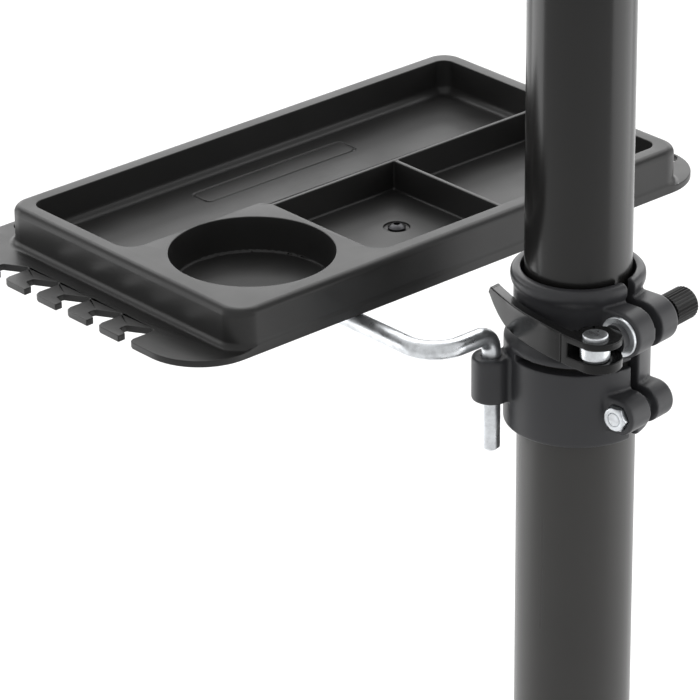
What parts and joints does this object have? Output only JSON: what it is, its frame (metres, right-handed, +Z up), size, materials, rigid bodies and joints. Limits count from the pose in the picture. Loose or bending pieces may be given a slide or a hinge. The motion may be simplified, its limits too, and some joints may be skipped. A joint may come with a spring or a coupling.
{
  "type": "bike repair stand",
  "caption": "Folding bike repair stand: splayed legs with braces, telescoping mast, quick-release collar with a swinging tool tray, and a turning clamp head.",
  "frame": {"origin": "mast axis at floor level, the middle of the four feet", "axes": "+Z up along the mast, +X along the tray's long side, the clamp arm points to -Y and the tray lies on the +Y side"},
  "size_m": [0.8392, 0.8392, 1.4677],
  "materials": {
    "mast_paint": "gloss",
    "collar_plastic": "satin",
    "tray_plastic": "matt, fine grain",
    "lever_enamel": "gloss",
    "knurled_black": "satin",
    "zinc_steel": "zinc plated",
    "black_screw": "satin",
    "cast_alloy": "satin",
    "hub_plastic": "satin",
    "knob_plastic": "satin",
    "pad_rubber": "matt",
    "foot_rubber": "matt"
  },
  "bodies": {
    "base": {"lower_tube": "mast_paint", "tube_plug": "hub_plastic", "base_hub": "hub_plastic", "hub_pins": "zinc_steel", "collar": "collar_plastic", "clamp_bolt": "zinc_steel", "clamp_nut": "zinc_steel", "qr_skewer": "zinc_steel", "qr_barrel": "zinc_steel", "qr_washer": "zinc_steel", "qr_saddle": "collar_plastic"},
    "qr_lever_body": {"qr_lever": "lever_enamel"},
    "qr_nut_body": {"qr_nut": "knurled_black"},
    "tray_body": {"tray": "tray_plastic", "tray_rod": "zinc_steel", "tray_screw": "black_screw", "tray_nut": "zinc_steel"},
    "mast_slide": {"glide_bush": "hub_plastic"},
    "upper_mast": {"upper_tube": "mast_paint", "head_casting": "cast_alloy", "head_screws": "black_screw", "arm_bolt": "zinc_steel"},
    "arm_lever_body": {"arm_lever": "cast_alloy"},
    "arm": {"clamp_arm": "mast_paint", "arm_cap": "hub_plastic", "jaw_body": "cast_alloy", "fixed_pad": "pad_rubber", "guide_rods": "zinc_steel"},
    "jaw": {"moving_jaw": "cast_alloy", "moving_pad": "pad_rubber"},
    "spindle_body": {"spindle": "zinc_steel", "spindle_knob": "knob_plastic"},
    "slider_body": {"slider": "hub_plastic", "slider_pins": "zinc_steel"},
    "slider_knob_body": {"slider_knob": "knob_plastic"},
    "leg_body_1": {"leg_1": "mast_paint", "leg_plug_1": "hub_plastic", "foot_1": "foot_rubber"},
    "brace_body_1": {"brace_1": "mast_paint", "knee_rivet_1": "zinc_steel"},
    "leg_body_2": {"leg_2": "mast_paint", "leg_plug_2": "hub_plastic", "foot_2": "foot_rubber"},
    "brace_body_2": {"brace_2": "mast_paint", "knee_rivet_2": "zinc_steel"},
    "leg_body_3": {"leg_3": "mast_paint", "leg_plug_3": "hub_plastic", "foot_3": "foot_rubber"},
    "brace_body_3": {"brace_3": "mast_paint", "knee_rivet_3": "zinc_steel"},
    "leg_body_4": {"leg_4": "mast_paint", "leg_plug_4": "hub_plastic", "foot_4": "foot_rubber"},
    "brace_body_4": {"brace_4": "mast_paint", "knee_rivet_4": "zinc_steel"}
  },
  "joints": [
    {"name": "mast_height", "type": "slide", "parent": "base", "child": "mast_slide", "axis": [0, 0, 1], "range_m": [-0.35, 0.12]},
    {"name": "mast_turn", "type": "hinge", "parent": "mast_slide", "child": "upper_mast", "pos_m": [0, 0, 0.6], "axis": [0, 0, 1], "continuous": true},
    {"name": "arm_lever_turn", "type": "hinge", "parent": "upper_mast", "child": "arm_lever_body", "pos_m": [0.034, 0, 1.443], "axis": [0, 0, -1], "range_deg": [0, 170]},
    {"name": "arm_turn", "type": "hinge", "parent": "upper_mast", "child": "arm", "pos_m": [0, 0, 1.42], "axis": [0, 1, 0], "continuous": true},
    {"name": "jaw_slide", "type": "slide", "parent": "arm", "child": "jaw", "axis": [1, 0, 0], "range_m": [-0.014, 0.028]},
    {"name": "spindle_turn", "type": "hinge", "parent": "jaw", "child": "spindle_body", "pos_m": [0.06, -0.272, 1.42], "axis": [1, 0, 0], "range_deg": [-504, 1008]},
    {"name": "qr_lever_turn", "type": "hinge", "parent": "base", "child": "qr_lever_body", "pos_m": [-0.02558, -0.03619, 0.871], "axis": [0, 0, 1], "range_deg": [0, 150]},
    {"name": "qr_nut_turn", "type": "hinge", "parent": "base", "child": "qr_nut_body", "pos_m": [0.02782, -0.02963, 0.872], "axis": [0.9925, 0.1219, 0], "continuous": true},
    {"name": "tray_swing", "type": "hinge", "parent": "base", "child": "tray_body", "pos_m": [-0.03245, 0.01782, 0.843], "axis": [0, 0, 1], "range_deg": [-45, 60]},
    {"name": "base_fold", "type": "hinge", "parent": "base", "child": "brace_body_1", "pos_m": [0.03394, 0.03394, 0.07783], "axis": [0.7071, -0.7071, 0], "range_deg": [0, 49]},
    {"name": "leg_1_fold", "type": "hinge", "parent": "brace_body_1", "child": "leg_body_1", "pos_m": [0.18454, 0.18454, 0.22696], "axis": [0.7071, -0.7071, 0], "range_deg": [-98, 0]},
    {"name": "brace_2_fold", "type": "hinge", "parent": "base", "child": "brace_body_2", "pos_m": [-0.03394, 0.03394, 0.07783], "axis": [0.7071, 0.7071, 0], "range_deg": [0, 49]},
    {"name": "leg_2_fold", "type": "hinge", "parent": "brace_body_2", "child": "leg_body_2", "pos_m": [-0.18454, 0.18454, 0.22696], "axis": [0.7071, 0.7071, 0], "range_deg": [-98, 0]},
    {"name": "brace_3_fold", "type": "hinge", "parent": "base", "child": "brace_body_3", "pos_m": [-0.03394, -0.03394, 0.07783], "axis": [-0.7071, 0.7071, 0], "range_deg": [0, 49]},
    {"name": "leg_3_fold", "type": "hinge", "parent": "brace_body_3", "child": "leg_body_3", "pos_m": [-0.18454, -0.18454, 0.22696], "axis": [-0.7071, 0.7071, 0], "range_deg": [-98, 0]},
    {"name": "brace_4_fold", "type": "hinge", "parent": "base", "child": "brace_body_4", "pos_m": [0.03394, -0.03394, 0.07783], "axis": [-0.7071, -0.7071, 0], "range_deg": [0, 49]},
    {"name": "leg_4_fold", "type": "hinge", "parent": "brace_body_4", "child": "leg_body_4", "pos_m": [0.18454, -0.18454, 0.22696], "axis": [-0.7071, -0.7071, 0], "range_deg": [-98, 0]},
    {"name": "slider_rise", "type": "hinge", "parent": "leg_body_1", "child": "slider_body", "pos_m": [0.03394, 0.03394, 0.37609], "axis": [0.7071, -0.7071, 0], "range_deg": [0, 49]},
    {"name": "slider_knob_turn", "type": "hinge", "parent": "slider_body", "child": "slider_knob_body", "pos_m": [0, -0.056, 0.38109], "axis": [0, 1, 0], "continuous": true}
  ],
  "couplings": [
    {"joint": "spindle_turn", "follows": "jaw_slide", "rad_per_m": 628.32},
    {"joint": "leg_1_fold", "follows": "base_fold", "ratio": -2},
    {"joint": "brace_2_fold", "follows": "base_fold", "ratio": 1},
    {"joint": "leg_2_fold", "follows": "base_fold", "ratio": -2},
    {"joint": "brace_3_fold", "follows": "base_fold", "ratio": 1},
    {"joint": "leg_3_fold", "follows": "base_fold", "ratio": -2},
    {"joint": "brace_4_fold", "follows": "base_fold", "ratio": 1},
    {"joint": "leg_4_fold", "follows": "base_fold", "ratio": -2},
    {"joint": "slider_rise", "follows": "base_fold", "ratio": 1}
  ]
}
